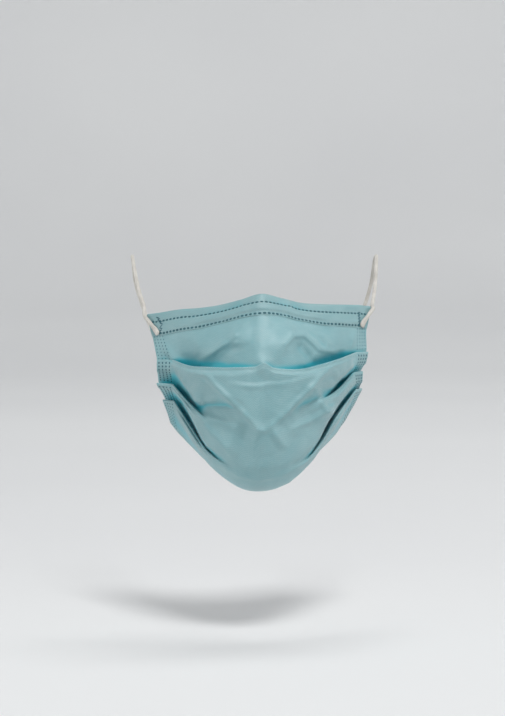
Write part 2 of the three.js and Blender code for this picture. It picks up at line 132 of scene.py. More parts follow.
# Ridges and hollows of the worn sheet. The points are across and up, as seen from the front at the angle in
# SEEN, with how far the sheet stands out there. "left" and "right" are the sides of the crease, going along
# it: how far off it dies out, and how sharp it is, from 1 for straight flanks to 2 for a thin crest with
# hollow ones, or 0 for a smooth swelling.
SEEN = dict(turn=-0.0454, lift=0.07)
CREASES = {
    "lower edge of the front facet": dict(left=(24, 1.35), right=(17, 1.2), points=(
        (-57, -41.5, 0), (-50, -43.6, 2.8), (-42, -45.2, 5.6), (-36, -47, 7.6), (-32, -50, 8.8),
        (-28, -55, 9.4), (-20, -62.5, 9.8), (-14.5, -67.8, 9.2), (-10, -72, 8), (-5, -77, 6.6),
        (-2, -80.6, 6), (1.5, -82, 5.6), (5.5, -79, 6.2), (10, -75, 7.6), (16, -69.5, 9.2),
        (22, -63.5, 9.8), (28, -58, 9.5), (33, -52.6, 8.6), (38, -47.2, 6.9), (43, -42.8, 4.5),
        (50, -39, 1.5), (56, -36.5, 0))),
    "tail of that edge": dict(left=(5, 1.3), right=(6, 1.5), points=(
        (-5, -77, 0.4), (-2, -81.4, 1.6), (0.8, -87, 0.3))),
    "under the little tent": dict(left=(4.5, 1.1), right=(4.5, 1.1), points=(
        (0.6, -42, 1.5), (0.6, -51, 0))),
    "mouth of the middle pleat, right": dict(left=(12, 1.3), right=(5, 1.3), points=(
        (-57, -41.5, 0), (-53, -44, 2), (-50.5, -47, 3.8), (-48.5, -51, 5.4), (-47, -55, 6.4),
        (-45.5, -59.5, 6.4), (-42.5, -64.5, 5), (-39.2, -69.5, 2.4))),
    "valley from the middle pleat, right": dict(left=(6, 1.2), right=(5, 1.3), points=(
        (-39, -71, -3.5), (-36, -68.8, -5.5), (-33, -67.6, -6), (-27, -67, -5.4), (-21, -66.9, -4.6),
        (-15.5, -68.6, -3), (-12, -71.3, 0))),
    "upper dart from the middle pleat, right": dict(left=(3, 1.3), right=(4.5, 1.3), points=(
        (-38.5, -71.8, 2.4), (-30, -75, 2), (-20, -78.5, 1.6), (-10, -81.5, 0))),
    "lower dart from the middle pleat, right": dict(left=(10, 1.2), right=(6, 1.3), points=(
        (-39, -72.5, 2.6), (-33, -80, 4), (-27, -86, 4), (-22, -92, 2.8), (-16, -99.5, 0))),
    "second lower dart, right": dict(left=(2, 1.3), right=(2.4, 1.3), points=(
        (-38, -75, 0), (-31, -84.5, 1.3), (-25.5, -91.5, 0))),
    "hollow of the chin, right": dict(left=(6, 0), right=(8, 0), points=(
        (-9, -80, -1.6), (-10, -88, -2.6), (-11, -100, -1.2))),
    "mouth of the middle pleat, left": dict(left=(4, 1.3), right=(9, 1.2), points=(
        (56, -38.6, 0), (53.9, -44.5, 3), (51.7, -49.5, 4), (49.8, -53, 1.4))),
    "dart of the middle pleat, left": dict(left=(6, 1.5), right=(10, 1.1), points=(
        (31.5, -55.8, 0), (33.5, -58.2, 3), (35.2, -61.8, 4.8), (37, -65.8, 6), (39, -69.6, 6.4),
        (41.2, -71.2, 5))),
    "valley from that dart": dict(left=(5, 1.2), right=(4, 1.2), points=(
        (34.6, -62.4, -2.6), (28, -65.4, -3.2), (23, -67.4, -2.4), (17, -71, 0))),
    "lower dart of that pleat, left": dict(left=(6, 1.2), right=(4, 1.3), points=(
        (41.2, -71.2, 3), (35, -74.5, 2.6), (28, -77.4, 2.2), (20, -81, 1.5), (15, -82.6, 0))),
    "ridge of the chin": dict(left=(5, 1.3), right=(4, 1.3), points=(
        (6.5, -79.4, 1), (8, -84, 2.8), (12, -90, 2.4), (17, -93.5, 0))),
    "memory of the first pleat's inner fold": dict(left=(1.8, 1.3), right=(3, 1.3), points=(
        (-21, -53.4, 0), (-14, -54.4, 0.8), (-8, -55.3, 1.1), (-2, -55.7, 1.1), (3, -54.8, 0.9),
        (12, -54.2, 0.9), (20, -52.6, 0.8), (27, -50.6, 0))),
    "memory of the last fold": dict(left=(3.6, 1.5), right=(2.2, 1.5), points=(
        (-26, -103.6, 0.7), (-14, -110, 0.8), (-2, -112.4, 0.7), (12, -110.6, 0.8), (23, -104, 0.7))),
    "cheek fold, right": dict(left=(13, 1.1), right=(10, 1.1), points=(
        (-42, -42, 0), (-37, -40, 3.8), (-30, -35, 6.2), (-23, -29.8, 7), (-16, -25, 6),
        (-11, -23.4, 0))),
    "hollow under that fold": dict(left=(6, 0), right=(6, 0), points=(
        (-25, -38, -1.8), (-17, -35, -3), (-9, -35, -1.2))),
    "cheek fold, left": dict(left=(12, 1.2), right=(9, 1.15), points=(
        (12.4, -38, 0), (14.6, -30, 5.4), (19, -25, 7.4), (26, -24.6, 7.2), (31, -28.6, 6.8),
        (35, -33, 6), (44, -34.8, 4.2), (54, -32, 0))),
    "hollow beside the nose, left": dict(left=(5, 0), right=(5, 0), points=(
        (24, -34, -1.4), (27, -38, -2.4))),
    "small fold over the left cheek": dict(left=(4, 1.4), right=(3, 1.4), points=(
        (31, -22, 0), (38, -26, 2), (41, -30, 1.8), (39, -32, 0))),
    "roll of the middle fold, right": dict(left=(2.8, 1.2), right=(6, 1.3), points=(
        (-55, -58.5, 0.6), (-50, -64, 2.8), (-44, -70, 2.8), (-40, -74, 0.8))),
    "roll of the middle fold, left": dict(left=(6, 1.3), right=(2.8, 1.2), points=(
        (55, -54, 0.8), (50, -57.5, 3), (46, -61.5, 3), (42, -65, 1))),
    "roll of the last fold, right": dict(left=(3, 1.1), right=(5, 1.1), points=(
        (-52.5, -70, 1.2), (-47.5, -77, 4.4), (-42.5, -84.5, 4.4), (-38, -91, 3.4), (-33, -97, 1))),
    "roll of the last fold, left": dict(left=(4.5, 1.1), right=(2.6, 1.1), points=(
        (53.5, -66.5, 1.2), (48.4, -76, 4.2), (43.6, -86, 4.2), (37.3, -95.5, 1.2))),
    "roll of the first fold": dict(left=(3, 1.2), right=(6, 1.3), points=(
        (-52, -45, 0), (-44, -46, 0.5), (-30, -46.8, 0.9), (-20, -47.2, 1), (-9, -47, 0.9),
        (-4, -46.2, 0.3), (4, -46.2, 0.3), (10, -47, 0.9), (18, -48.4, 1.2), (28, -47.8, 1.3),
        (38, -45.2, 1.3), (48, -42, 1), (55, -39.6, 0))),
    "hollow over the first fold, right": dict(left=(9, 0), right=(5, 0), points=(
        (-48, -43.5, -1.5), (-38, -43.5, -4.8), (-28, -44, -5.2), (-18, -44.5, -3.9), (-8, -44, -1))),
    "hollow over the first fold, left": dict(left=(7, 0), right=(5, 0), points=(
        (12, -45, -0.5), (20, -46.5, -1), (28, -45.5, -2.2), (38, -43, -3.2), (49, -40.5, -1))),
    "pull from the right weld": dict(left=(6, 1.3), right=(3, 1.5), points=(
        (-61, -29, 0), (-57.6, -34.6, 2.4), (-53.5, -40.5, 1.4))),
    "pull from the left weld": dict(left=(3, 1.5), right=(6, 1.3), points=(
        (59.6, -21, 0), (57, -28, 2.2), (54, -36, 1))),
}
# Small folds drawn at random: how many, over which part of the sheet, and how large.
CRUMPLES = dict(seed=11, count=170, reach=62, top=-22, bottom=-118, length=(5, 18), rise=(0.1, 0.42),
                width=(1.6, 4.5), slant=0.9)
HEM_CRUMPLES = dict(seed=5, count=60, reach=66, top=0, bottom=-30, length=(5, 16), rise=(0.08, 0.26),
                    width=(1.4, 3.6), slant=0.5)
CRUMPLE_BOW = 0.2  # how far one bows at most, as a share of half its length
CRUMPLE_SHARP = 1.4  # as in CREASES
SWELL = dict(size=24, depth=0.7)  # slow waves all over the sheet

# The shelter of the folds, which sets where painted shade darkens the cloth's colour, from a map of square
# cells seen from the front: size of a cell, empty cells about the sheet, rounds of spreading, the depth
# where shelter starts, how much more makes it full, and how fast it fades towards the sheet's outline.
SHELTER = dict(cell=1.5, margin=2, spread=5, start=0.8, depth=3.6, rim=9)


# ---- small helpers

def clamp(x, low, high):
    return min(max(x, low), high)


def smooth(t):
    return t * t * (3 - 2 * t)


def unit(v):
    return v / max(np.linalg.norm(v), TINY)


def units(vectors):
    """The directions of an array of vectors."""
    return vectors / np.maximum(np.linalg.norm(vectors, axis=-1, keepdims=True), TINY)


def lengths_along(points):
    """How far along a run of points each of them is."""
    return np.concatenate([[0], np.cumsum(np.linalg.norm(np.diff(points, axis=0), axis=1))])


def through(values, x):
    """Value of an even list of stations at x, with a smooth curve through them."""
    last = len(values) - 1
    i = clamp(math.floor(x), 0, last - 1)
    t = clamp(x - i, 0, 1)
    a, b, c, d = (values[clamp(k, 0, last)] for k in range(i - 1, i + 3))
    start_slope = (c - a) / (1 if i == 0 else 2)
    end_slope = (d - b) / (1 if i + 2 > last else 2)
    rest = 1 - t
    blend = rest * rest * (1 + 2 * t) * b + t * t * (3 - 2 * t) * c
    return blend + t * rest * (rest * start_slope - t * end_slope)


def across(right, left, share):
    """Value at a share of the half width, from -1 at the wearer's right to 1 at the left."""
    return through(tuple(reversed(right))[:-1] + tuple(left), (share + 1) * (STATIONS - 1))


def between(values, x, y):
    """Values of a grid at places between its points."""
    i, j = np.floor(x).astype(int), np.floor(y).astype(int)
    u, v = x - i, y - j
    low = values[i, j] * (1 - v) + values[i, j + 1] * v
    high = values[i + 1, j] * (1 - v) + values[i + 1, j + 1] * v
    return low * (1 - u) + high * u


def resampled(points, count):
    """The same run of points with that many even steps."""
    lengths = lengths_along(points)
    wanted = np.linspace(0, lengths[-1], count + 1)
    return np.column_stack([np.interp(wanted, lengths, points[:, k]) for k in range(3)])


def curve_through(points, count):
    """Even points along a smooth curve through three or more points."""
    points = [2 * points[0] - points[1], *points, 2 * points[-1] - points[-2]]
    dense = []
    for a, b, c, d in zip(points, points[1:], points[2:], points[3:]):
        gaps = [max(np.linalg.norm(end - start), TINY) ** 0.5 for start, end in ((a, b), (b, c), (c, d))]
        knots = np.cumsum([0] + gaps)
        for t in np.linspace(knots[1], knots[2], CURVE_STEPS, endpoint=False):
            level = [a, b, c, d]
            for first, reach in ((0, 1), (0, 2), (1, 1)):
                pairs = zip(level, level[1:], knots[first:], knots[first + reach:])
                level = [(p * (end - t) + q * (t - start)) / (end - start) for p, q, start, end in pairs]
            dense.append(level[0])
    dense.append(points[-2])
    return resampled(np.array(dense), count)


# ---- the worn sheet

def even_line(half, flare, depth, right, left, band_right, band_left):
    """A line as a function of the share of its length to the side band. Past 1 it crosses the band."""
    shares = np.linspace(-1, 1, LENGTH_STEPS + 1)
    points = np.array([
        (q * half + q * q * flare, across(depth, depth, q), across(right, left, q)) for q in shares])
    lengths = lengths_along(points)
    middle, end = lengths[LENGTH_STEPS // 2], lengths[-1]

    def point_at(share):
        inside = clamp(share, -1, 1)
        wanted = middle + inside * (middle if inside < 0 else end - middle)
        point = np.array([np.interp(wanted, lengths, points[:, k]) for k in range(3)])
        step = np.array(band_right if share < 0 else band_left, float)
        return point + step * max(abs(share) - 1, 0) / BAND

    return point_at


line = {name: even_line(**row) for name, row in LINES.items()}


def directions(name, share):
    """A point on a line, and the directions down the sheet to it and from it, and out of its front."""
    place = LINE_NAMES.index(name)
    here = line[name](share)
    sideways = unit(line[name](min(share + SLIGHT, 1 + BAND)) - line[name](max(share - SLIGHT, -1 - BAND)))
    above = unit(here - line[LINE_NAMES[place - 1]](share)) if place else None
    last = place + 1 == len(LINE_NAMES)
    down = above if last else unit(line[LINE_NAMES[place + 1]](share) - here)
    front = unit(np.cross(down, sideways))
    return dict(here=here, above=down if above is None else above, down=down, front=front)


def pleat_at(pleat, share):
    """Where one pleat bends: the end of the panel above, the hidden layer's ends, and the panel below."""
    at = directions(pleat["fold"], share)
    here, down, front = at["here"], at["down"], at["front"]
    reach = across(pleat["overlap"], pleat["overlap"], share)
    shut = smooth(clamp((reach + OPENING_TURN) / (2 * OPENING_TURN), 0, 1))
    depth = max(across(pleat["right"], pleat["left"], share), shut * 2 * LAYER_PITCH)
    ease = unit(at["above"] + down)
    standing = unit(front * (1 - STRAIGHT) + FORWARD * STRAIGHT)
    inner_end = here + (down if reach > 0 else ease) * reach - standing * depth
    turn = unit(unit(here - inner_end) + down + front * SLIGHT)
    width = LAYER_PITCH * (2 - shut)
    peaked = pleat["fold"] == PEAK["fold"]
    near = max(1 - abs(here[0] - PEAK["middle"]) / PEAK["half"], 0) if peaked else 0
    tip = here + np.array([0, -PEAK["ahead"], PEAK["up"]]) * near
    return dict(inner_end=inner_end, inner_start=inner_end + turn * width, outer_end=tip - turn * width,
                outer_start=tip, down=down, front=front, standing=standing, shut=shut, reach=reach,
                depth=depth)


def panel_between(above, below, swell, rows, drop):
    """Points down a panel from one bend to the next. Over its last stretch, "drop", it drops back to pass
    behind the bend below."""
    start, end = above["outer_start"], below["outer_start"]
    to_fold = np.linalg.norm(end - start)
    length = to_fold + below["reach"]
    slack = min(2 * LAYER_PITCH / max(above["depth"], SLIGHT), 1)
    dropped = min(to_fold, length) - DROP_CLEARANCE
    held = max((max(above["reach"], 0) + FOLD_CLEARANCE) * slack, dropped - drop)
    open_end = below.get("inner_end", end) + below["standing"] * below["depth"]
    points = []
    for t in np.linspace(0, 1, rows + 1):
        distance = t * length
        part = clamp((distance - held) / (dropped - held), 0, 1)
        on_line = start + (end - start) * min(distance / to_fold, 1)
        on_sheet = on_line + below["down"] * max(distance - to_fold, 0)
        if below["reach"] <= 0:
            on_sheet = start + (open_end - start) * t
        points.append(on_sheet - below["standing"] * below["depth"] * part ** DROP_CURVE
                      + above["front"] * swell * 4 * t * (1 - t))
    return np.array(points)


def bend(before, after):
    """Round bend from the end of one run of points to the start of the next, without its two ends."""
    start, end = before[-1], after[0]
    handle = BEND_HANDLE * np.linalg.norm(end - start)
    first = start + unit(start - before[-2]) * handle
    second = end - unit(after[1] - end) * handle
    t = np.linspace(0, 1, ROWS["bend"] + 1)[1:-1, None]
    return (1 - t) ** 3 * start + 3 * t * (1 - t) ** 2 * first + 3 * t * t * (1 - t) * second + t ** 3 * end


def freedom(count, shut_above, shut_below, fade):
    """How freely a panel may change its shape: not beside a bend that is shut."""
    t = np.linspace(0, 1, count)
    from_start = smooth(np.minimum(t / fade, 1))
    from_end = smooth(np.minimum((1 - t) / fade, 1))
    return (1 - shut_above * (1 - from_start)) * (1 - shut_below * (1 - from_end))


def blended(first, last, count):
    """Directions turning evenly from the first to the last."""
    return np.array([unit(first + (last - first) * t) for t in np.linspace(0, 1, count)])


def upper_panel(share, pleat, bridge):
    """Points from the top edge down over the bridge line and in behind the first fold."""
    fold = line[PLEATS[0]["fold"]](share)
    behind = fold - pleat["standing"] * pleat["depth"]
    behind = behind + unit(bridge["here"] - fold) * FOLD_CLEARANCE
    seen = curve_through([line["top_edge"](share), bridge["here"], behind], ROWS["upper"] - TUCKED_ROWS)
    tucked = resampled(np.array([behind, pleat["inner_end"]]), TUCKED_ROWS)[1:]
    return np.vstack([seen, tucked])


def column(share):
    """One column of the sheet: its points, how freely each may crease and be relaxed, and the direction
    out of the front there."""
    pleats = [pleat_at(pleat, share) for pleat in PLEATS]
    chin = directions("chin_edge", share)
    edge = dict(outer_start=chin["here"], standing=chin["front"], front=chin["front"], down=chin["front"],
                reach=0, depth=0, shut=0)
    swell = max(1 - share * share, 0)

    bridge = directions("bridge", share)
    upper = upper_panel(share, pleats[0], bridge)
    part = np.linspace(0, 1, len(upper))
    upper = upper + bridge["front"] * BULGE["upper"] * swell * np.sin(np.pi * part[:, None])
    below_hem = smooth(np.clip((part - HEM_HOLD["below"]) / HEM_HOLD["fade"], 0, 1))
    runs = [upper]
    out = [blended(bridge["front"], pleats[0]["front"], len(upper))]
    fades = (CREASE_FADE, RELAX_FADE)
    free = [[freedom(len(upper), 0, pleats[0]["shut"], fade) * below_hem] for fade in fades]

    for name, pleat, after in zip(("front", "cheek", "chin"), pleats, [*pleats[1:], edge]):
        hidden = resampled(np.array([pleat["inner_start"], pleat["outer_end"]]), ROWS["hidden"])
        drop = across(DROP[name]["right"], DROP[name]["left"], share)
        panel = panel_between(pleat, after, BULGE[name] * swell, ROWS[name], drop)
        folded = [bend(runs[-1], hidden), hidden, bend(hidden, panel)]
        runs += [*folded, panel]
        for parts, fade in zip(free, fades):
            parts += [np.full(len(run), 1 - pleat["shut"]) for run in folded]
            parts.append(freedom(len(panel), pleat["shut"], after["shut"], fade))
        out += [np.tile(pleat["front"], (len(run), 1)) for run in folded]
        out.append(blended(pleat["front"], after["front"], len(panel)))
    creasing, relaxing = (np.concatenate(parts) for parts in free)
    return np.vstack(runs), creasing, relaxing, np.vstack(out)


def seen_from_front(points):
    """Places of points across and up, as seen from the front."""
    return np.stack([points[..., 0] + SEEN["turn"] * points[..., 1],
                     points[..., 2] + SEEN["lift"] * points[..., 1]], axis=-1)


def creases_at(points, creases):
    """How far the creases push each point out of the sheet."""
    places = seen_from_front(points)
    return sum(crease_at(places, **crease) for crease in creases)


def crease_at(places, points, left, right):
    """How far one crease pushes each place, seen from the front, out of the sheet."""
    path, rise = np.array(points, float)[:, :2], [point[2] for point in points]
    steps = np.diff(path, axis=0)
    sides = units(np.column_stack([-steps[:, 1], steps[:, 0]]))
    last = len(steps) - 1
    nearest = np.full(places.shape[:-1], np.inf)
    on_left = np.zeros(places.shape[:-1])
    found = []
    for i, (start, step, side) in enumerate(zip(path, steps, sides)):
        t = np.clip((places - start) @ step / (step @ step), 0, 1)
        offset = places - start - t[..., None] * step
        distance = np.linalg.norm(offset, axis=-1)
        straight = offset @ side / np.maximum(distance, TINY)
        at_start = offset @ (side + sides[max(i - 1, 0)])
        at_end = offset @ (side + sides[min(i + 1, last)])
        at_corner = np.where(t <= 0, at_start, at_end)
        past_end = ((t <= 0) & (i == 0)) | ((t >= 1) & (i == last))
        turned = np.sign(np.where((t <= 0) | (t >= 1), at_corner, straight))
        on_left = np.where(distance < nearest, np.where(past_end, straight, turned), on_left)
        nearest = np.minimum(nearest, distance)
        found.append((np.sqrt(distance ** 2 + CREST ** 2) - CREST, rise[i] + t * (rise[i + 1] - rise[i])))
    most = np.zeros(places.shape[:-1])
    for distance, height in found:
        shape = flank(distance, *left) * (1 + on_left) / 2 + flank(distance, *right) * (1 - on_left) / 2
        most = np.where(np.abs(shape * height) > np.abs(most), shape * height, most)
    return most


def flank(distance, reach, sharp):
    """How one side of a crease falls away, from 1 at its crest to 0 at its reach."""
    near = np.maximum(1 - distance / reach, 0)
    if not sharp:
        return smooth(near)
    crest = np.maximum(1 - distance / min(PINCH["reach"], reach), 0) ** PINCH["sharp"]
    return near ** sharp * (1 - PINCH["share"]) + crest * PINCH["share"]


def crumples(seed, count, reach, top, bottom, length, rise, width, slant):
    """Small bowed creases at random places, mostly lying across the sheet."""
    draw = np.random.default_rng(seed)
    made = []
    for _ in range(count):
        middle = np.array([draw.uniform(-reach, reach), draw.uniform(bottom, top)])
        angle = draw.normal(0, slant)
        half = draw.uniform(*length) / 2 * np.array([math.cos(angle), math.sin(angle)])
        push = draw.uniform(*rise) * draw.choice([-1, 1])
        bow = draw.uniform(-CRUMPLE_BOW, CRUMPLE_BOW) * np.array([-half[1], half[0]])
        left, right = [(draw.uniform(*width), CRUMPLE_SHARP) for _ in range(2)]
        points = ((*(middle - half), 0), (*(middle + bow), push), (*(middle + half), 0))
        made.append(dict(points=points, left=left, right=right))
    return made


def slow_waves(points):
    """Slow waves all over the sheet, the same on every run."""
    values = [noise.noise(Vector(p) / SWELL["size"]) for p in points.reshape(-1, 3)]
    return SWELL["depth"] * np.array(values).reshape(points.shape[:-1])


def all_shares():
    """Shares of the half width at which the sheet's columns lie, from the right band to the left one."""
    inner = np.linspace(-1, 1, INNER_COLUMNS + 1)
    band = 1 + BAND * np.arange(1, BAND_COLUMNS + 1) / BAND_COLUMNS
    return np.concatenate([-band[::-1], inner, band])


def relaxed(points, weights, rounds):
    """Evens the sheet out where it is free, and leaves its shut folds and its rim alone."""
    points = points.copy()
    pull = RELAX_PULL * weights[1:-1, 1:-1, None]
    for _ in range(rounds):
        around = points[2:, 1:-1] + points[:-2, 1:-1] + points[1:-1, 2:] + points[1:-1, :-2]
        points[1:-1, 1:-1] += pull * (around / 4 - points[1:-1, 1:-1])
    return points


def sheet_grid():
    """The whole worn sheet as a grid of points, [column, row]."""
    columns = [column(share) for share in all_shares()]
    points, creasing, relaxing, out = (np.array(part) for part in zip(*columns))
    points = relaxed(points, relaxing, RELAXING)
    small = creases_at(points, crumples(**CRUMPLES)) + slow_waves(points)
    push = FORWARD * creases_at(points, CREASES.values())[..., None] + out * small[..., None]
    return relaxed(points + push * creasing[..., None], creasing, 1)


def painted_shade_amount(grid):
    """How deep each point lies behind the sheet about it: 0 in the open, 1 in a fold. It sets the painted
    shade.
    """
    places = seen_from_front(grid)
    places = (places - places.min(axis=(0, 1))) / SHELTER["cell"] + SHELTER["margin"]
    x, y = places[..., 0], places[..., 1]
    cells = (x + 0.5).astype(int), (y + 0.5).astype(int)
    size = [cell.max() + SHELTER["margin"] + 1 for cell in cells]
    front = np.full(size, -np.inf)
    np.maximum.at(front, cells, -grid[..., 1])
    filled = np.isfinite(front).astype(float)
    total = np.where(filled > 0, front, 0)
    moves = [(step, axis) for axis in (0, 1) for step in (-1, 0, 1)]
    for _ in range(SHELTER["spread"]):
        filled, total = (sum(np.roll(a, step, axis=axis) for step, axis in moves) / len(moves)
                         for a in (filled, total))
    share = between(filled, x, y)
    behind = between(total, x, y) / np.maximum(share, TINY) + grid[..., 1]
    deep = smooth(np.clip((behind - SHELTER["start"]) / SHELTER["depth"], 0, 1))
    return deep * np.clip(share, 0, 1) ** SHELTER["rim"]


# ---- meshes

def grid_normals(grid):
    """Directions out of the front of a grid of points whose columns run towards +X and rows run down."""
    def along(values):
        steps = units(np.diff(values, axis=0))
        total = np.zeros(values.shape)
        total[:-1] += steps
        total[1:] += steps
        return total
    sideways = along(grid)
    down = along(grid.swapaxes(0, 1)).swapaxes(0, 1)
    return units(np.cross(down, sideways))


def new_object(name, vertices, faces, materials, face_materials=None):
    """A smooth-shaded mesh object from points in millimetres."""
    mesh = bpy.data.meshes.new(name)
    mesh.from_pydata((np.asarray(vertices) * MM).tolist(), [], [tuple(map(int, f)) for f in faces])
    for material in materials:
        mesh.materials.append(material)
    if face_materials is not None:
        mesh.polygons.foreach_set("material_index", np.asarray(face_materials, np.int32))
    mesh.polygons.foreach_set("use_smooth", np.full(len(mesh.polygons), True))
    mesh.update()
    made = bpy.data.objects.new(name, mesh)
    bpy.context.scene.collection.objects.link(made)
    return made


def add_point_attribute(obj, name, values):
    """Stores a vector at each point, for the materials."""
    attribute = obj.data.attributes.new(name, "FLOAT_VECTOR", "POINT")
    attribute.data.foreach_set("vector", np.asarray(values, np.float32).ravel())


def ring_quads(first, rings, sides):
    """Quads between rings of points, which follow each other from the index "first"."""
    faces = []
    for start in range(first, first + (rings - 1) * sides, sides):
        for m in range(sides):
            a, b = start + m, start + (m + 1) % sides
            faces.append((a, b, b + sides, a + sides))
    return faces


def tube_faces(first, rings, sides):
    """Those quads, with both ends closed."""
    last = first + (rings - 1) * sides
    ends = [tuple(reversed(range(first, first + sides))), tuple(range(last, last + sides))]
    return ring_quads(first, rings, sides) + ends


def wall_about(name, surface, thickness, materials):
    """A closed thin wall about a surface, with the first material on its front and the second on its back.
    Its points keep their place on the unfolded cloth, and how much painted shade their colour takes in a
    fold."""
    grid = surface.grid
    columns, rows = grid.shape[:2]
    count = columns * rows
    half = surface.normals * thickness / 2
    vertices = np.vstack([(grid + half).reshape(-1, 3), (grid - half).reshape(-1, 3)])
    i, j = np.meshgrid(np.arange(columns - 1), np.arange(rows - 1), indexing="ij")
    a = (i * rows + j).ravel()
    front = np.column_stack([a, a + 1, a + rows + 1, a + rows])
    back = front[:, ::-1] + count
    index = np.arange(count).reshape(columns, rows)
    rim = np.concatenate([index[0], index[1:, -1], index[-1, -2::-1], index[-2:0:-1, 0]])
    after = np.roll(rim, -1)
    edge = np.column_stack([after, rim, rim + count, after + count])
    kinds = np.concatenate([np.zeros(len(front)), np.ones(len(back)), np.zeros(len(edge))])
    made = new_object(name, vertices, np.vstack([front, back, edge]), materials, kinds)
    add_point_attribute(made, "cloth", np.tile(surface.flat_places().reshape(-1, 3), (2, 1)) * MM)
    # How much painted shade each point's colour takes where the sheet lies in a fold.
    add_point_attribute(made, "painted_shade", np.tile(painted_shade_amount(grid).reshape(-1, 1), (2, 3)))
    return made


# ---- surfaces to lay things on

JUST_INSIDE = 1.001  # keeps a place off the far edge of the last quad
# A weld is a thin pad. "inset" narrows its top and its ends, and "shoulder" is the share of its height
# where that starts. Its section has that many sides, and a straight one runs through that many places.
PAD = dict(inset=0.72, shoulder=0.4, sides=6, steps=4)


class Surface:
    """The front of a grid of points, to be asked for a place by column and row, whole or in between."""

    def __init__(self, grid, shares):
        self.grid = grid
        self.shares = shares
        self.normals = grid_normals(grid)

    def at(self, i, j, ahead=0.0):
        """A place that far ahead of the surface, and the direction out of its front."""
        columns, rows = self.grid.shape[:2]
        i, j = clamp(i, 0, columns - JUST_INSIDE), clamp(j, 0, rows - JUST_INSIDE)
        normal = unit(between(self.normals, i, j))
        return between(self.grid, i, j) + normal * ahead, normal

    def band_column(self, sign, part):
        """Column at a part of the way across a side band, outwards. The sign is 1 on the wearer's left."""
        return np.interp(sign * (1 + BAND * part), self.shares, np.arange(len(self.shares)))

    def down_column(self, i, span):
        """Lengths down one column, from the first row of a span to the last, and those rows."""
        rows = np.arange(span[0], span[1] + 1)
        return lengths_along(np.array([self.at(i, j)[0] for j in rows])), rows

    def flat_places(self):
        """Where each grid point was on the flat sheet, in millimetres: across, down and nothing."""
        down = np.array([lengths_along(points) for points in self.grid])
        sideways = np.repeat((self.shares * FLAT[0] / 2 / (1 + BAND))[:, None], down.shape[1], axis=1)
        return np.stack([sideways, -down, np.zeros_like(down)], axis=-1)


def add_pad(vertices, faces, surface, places, width, ahead):
    """Adds a pad to a joined mesh. It lies along places, (column, row) pairs, on a surface, and reaches
    that far ahead of the middle of its wall."""
    points, normals = (np.array(part) for part in zip(*(surface.at(i, j) for i, j in places)))
    along = np.gradient(points, axis=0)
    first = len(vertices)
    shoulder = ahead * PAD["shoulder"]
    for k, (point, normal) in enumerate(zip(points, normals)):
        taper = PAD["inset"] if k in (0, len(points) - 1) else 1
        half = unit(np.cross(normal, along[k])) * width / 2 * taper
        top = half * PAD["inset"]
        section = ((-half, 0), (-half, shoulder), (-top, ahead), (top, ahead), (half, shoulder), (half, 0))
        vertices += [point + side + normal * up for side, up in section]
    faces += tube_faces(first, len(points), PAD["sides"])


# ---- the hem and its welds

HEM_THICKNESS = 0.35
HEM_FOLD = 1.9  # height of the hem's fold above the sheet's top edge
# How far the hem reaches down outside and inside, and lies off the sheet, which is less at its lower edge.
HEM = dict(outside=15.7, inside=5, ahead=0.7, edge=0.5, taper=1.5)
HEM_STEP = 0.45  # from row to row of its outside
HEM_EASE = 8  # rows from the fold over which its creases rise
# Distances below the fold inside, turns over the fold, and distances below it outside.
HEM_INSIDE = np.arange(HEM["inside"], HEM_FOLD, -1)
HEM_TURNS = np.radians(np.linspace(-80, 80, 9))
HEM_OUTSIDE = np.linspace(HEM_FOLD, HEM["outside"], int((HEM["outside"] - HEM_FOLD) / HEM_STEP) + 1)
WIRE = dict(top=8.3, width=3, rise=1.0, slope=1.5, reach=0.62, fade=0.16)  # the ridge over the nose wire
# Two rows of short welds: how far below the fold, and from which share of the half width to which.
DASH_ROWS = (dict(below=6.1, start=-1.08, end=1.1), dict(below=14.4, start=-1.03, end=1.04))
DASH = dict(length=1.85, width=1.5, pitch=2.9, ahead=0.08, jitter=0.12, seed=3, samples=600)
GROOVE = dict(depth=0.14, width=2.4)  # what the dashes press into the hem
# Creases of the hem, like CREASES.
HEM_CREASES = {
    "nose flank": dict(left=(3.5, 1.3), right=(2.5, 1.5), points=(
        (17, -3, 0.4), (17.6, -9, 0.7), (17.4, -15, 0.3))),
    "wedge between the seams, right": dict(left=(2.6, 1.3), right=(2.6, 1.4), points=(
        (-50, -19, 0), (-42, -17.4, 0.65), (-30, -14, 0.1))),
    "pull from the weld, right": dict(left=(1.8, 1.4), right=(1.4, 1.4), points=(
        (-60, -26.5, 0.4), (-48, -23.6, 0.5), (-34, -21.6, 0))),
    "pull from the weld, left": dict(left=(2, 1.4), right=(1.6, 1.4), points=(
        (40, -15.6, 0), (50, -17.2, 0.5), (60, -17, 0.4))),
    "flank over the right of the nose": dict(left=(3, 1.3), right=(3, 1.4), points=(
        (-10, -6, 0.3), (-13, -12, 0.4))),
}


def hem_ahead(below, share):
    """How far the middle of the hem's outer layer lies in front of the middle of the sheet."""
    from_wire = max(WIRE["top"] - below, below - WIRE["top"] - WIRE["width"], 0)
    over_wire = smooth(clamp(1 - from_wire / WIRE["slope"], 0, 1))
    over_wire *= smooth(clamp((WIRE["reach"] - abs(share)) / WIRE["fade"] + 0.5, 0, 1))
    height = HEM["ahead"] + WIRE["rise"] * over_wire
    for row in DASH_ROWS:
        height -= GROOVE["depth"] * smooth(max(1 - abs(below - row["below"]) / GROOVE["width"], 0))
    lower = smooth(clamp((below - HEM["outside"]) / HEM["taper"] + 1, 0, 1))
    return height + (HEM["edge"] - HEM["ahead"]) * lower


